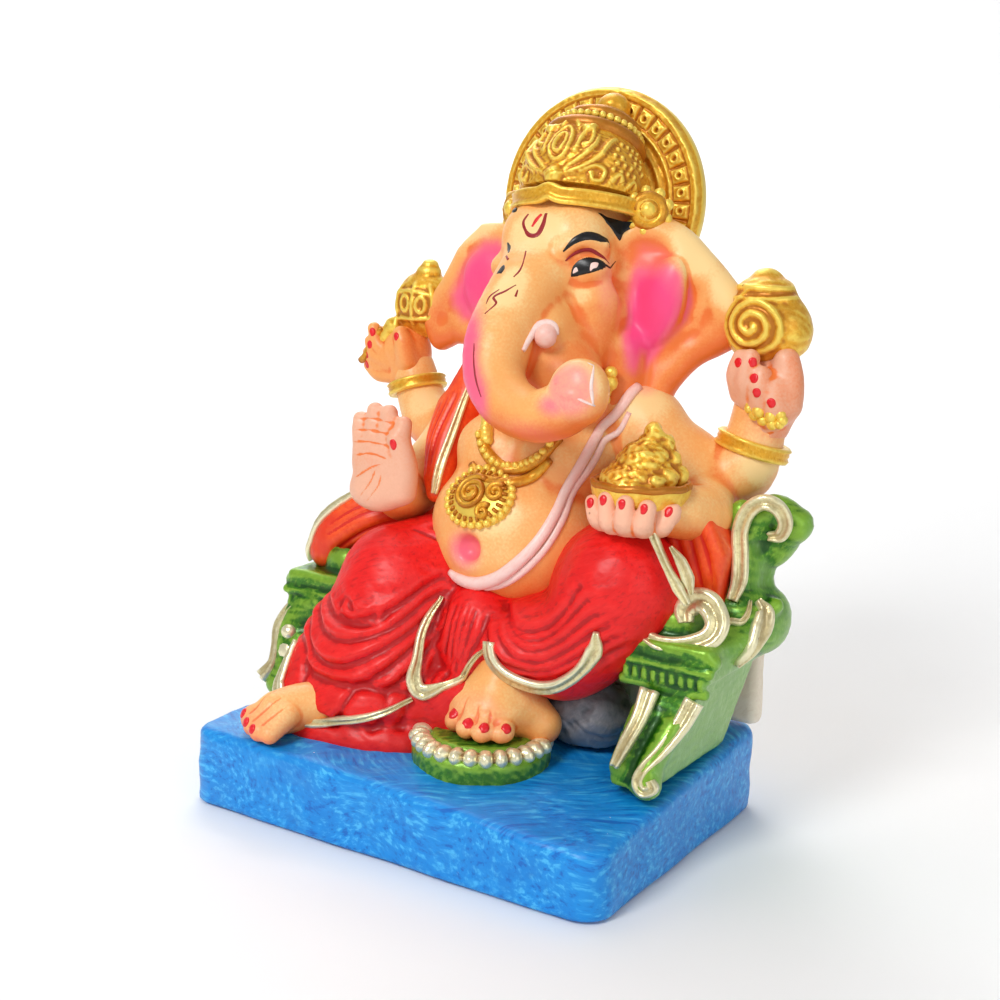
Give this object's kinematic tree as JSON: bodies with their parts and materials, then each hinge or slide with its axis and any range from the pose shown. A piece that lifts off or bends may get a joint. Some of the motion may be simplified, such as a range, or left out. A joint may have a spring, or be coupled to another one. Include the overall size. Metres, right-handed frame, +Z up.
{
  "type": "ganesha idol",
  "caption": "Painted plaster figure of a seated elephant-headed deity with crown and halo on a scroll throne, fixed to a slab plinth.",
  "frame": {"origin": "middle of the underside of the plinth, where the idol rests on a shelf", "axes": "+Z up from the shelf through the crown, -Y is the way the figure faces, +X is towards its own left hand"},
  "size_m": [0.1612, 0.104, 0.215],
  "materials": {
    "blue_paint": "brushed water paint, streaky, slightly glossy",
    "green_lacquer": "metallic green lacquer, darker in recesses",
    "gold_paint": "yellow gold paint with brown recesses",
    "pale_gold_paint": "pale gold paint on raised edges",
    "skin_paint": "airbrushed peach shaded orange, satin",
    "pink_paint": "airbrushed pink over peach, satin",
    "red_paint": "brushed red paint, satin",
    "orange_paint": "brushed orange red paint, satin",
    "bare_cream_cast": "cream ground coat on plaster, matte",
    "white_paint": "pinkish white paint, satin",
    "grey_paint": "grey paint with dark brushing"
  },
  "bodies": {
    "root": {"plinth": "blue_paint", "throne_seat": "bare_cream_cast", "throne_back": "bare_cream_cast", "left_throne_panel": "green_lacquer", "left_throne_front_leg": "pale_gold_paint", "left_throne_capital": "green_lacquer", "right_throne_panel": "green_lacquer", "right_throne_front_leg": "pale_gold_paint", "right_throne_capital": "green_lacquer", "left_throne_small_scroll": "pale_gold_paint", "left_throne_leaf": "pale_gold_paint", "left_throne_large_scroll": "green_lacquer", "footstool_disc": "green_lacquer", "footstool_bead_ring": "pale_gold_paint", "belly": "skin_paint", "chest": "skin_paint", "head": "skin_paint", "trunk": "skin_paint", "left_tusk": "white_paint", "left_ear": "pink_paint", "right_ear": "pink_paint", "halo_disc": "gold_paint", "crown_band": "gold_paint", "crown_dome": "gold_paint", "crown_upper_tier": "gold_paint", "crown_finial": "gold_paint", "left_crown_rosette": "gold_paint", "right_crown_rosette": "gold_paint", "right_leg_drape": "red_paint", "left_leg_drape": "red_paint", "centre_pleats": "red_paint", "right_foot": "skin_paint", "left_foot": "skin_paint", "cushion_stone": "grey_paint", "right_rear_upper_arm": "skin_paint", "left_rear_upper_arm": "skin_paint", "right_rear_hand": "skin_paint", "left_rear_hand": "skin_paint", "left_ear_web": "skin_paint", "right_ear_web": "skin_paint", "right_bangle": "gold_paint", "left_bangle": "gold_paint", "noose_emblem": "gold_paint", "conch_emblem": "gold_paint", "right_front_arm": "skin_paint", "right_front_palm": "pink_paint", "left_front_arm": "skin_paint", "left_front_palm": "pink_paint", "modak_bowl": "gold_paint", "modak_heap": "gold_paint", "shawl_shoulder": "orange_paint", "shawl_right_end": "orange_paint", "shawl_left_end": "orange_paint", "sash_tail": "pale_gold_paint", "necklace": "gold_paint", "pendant": "gold_paint", "sacred_thread": "white_paint", "right_hem_trim": "pale_gold_paint", "left_hem_trim": "pale_gold_paint", "pleat_trim": "pale_gold_paint"}
  },
  "joints": []
}
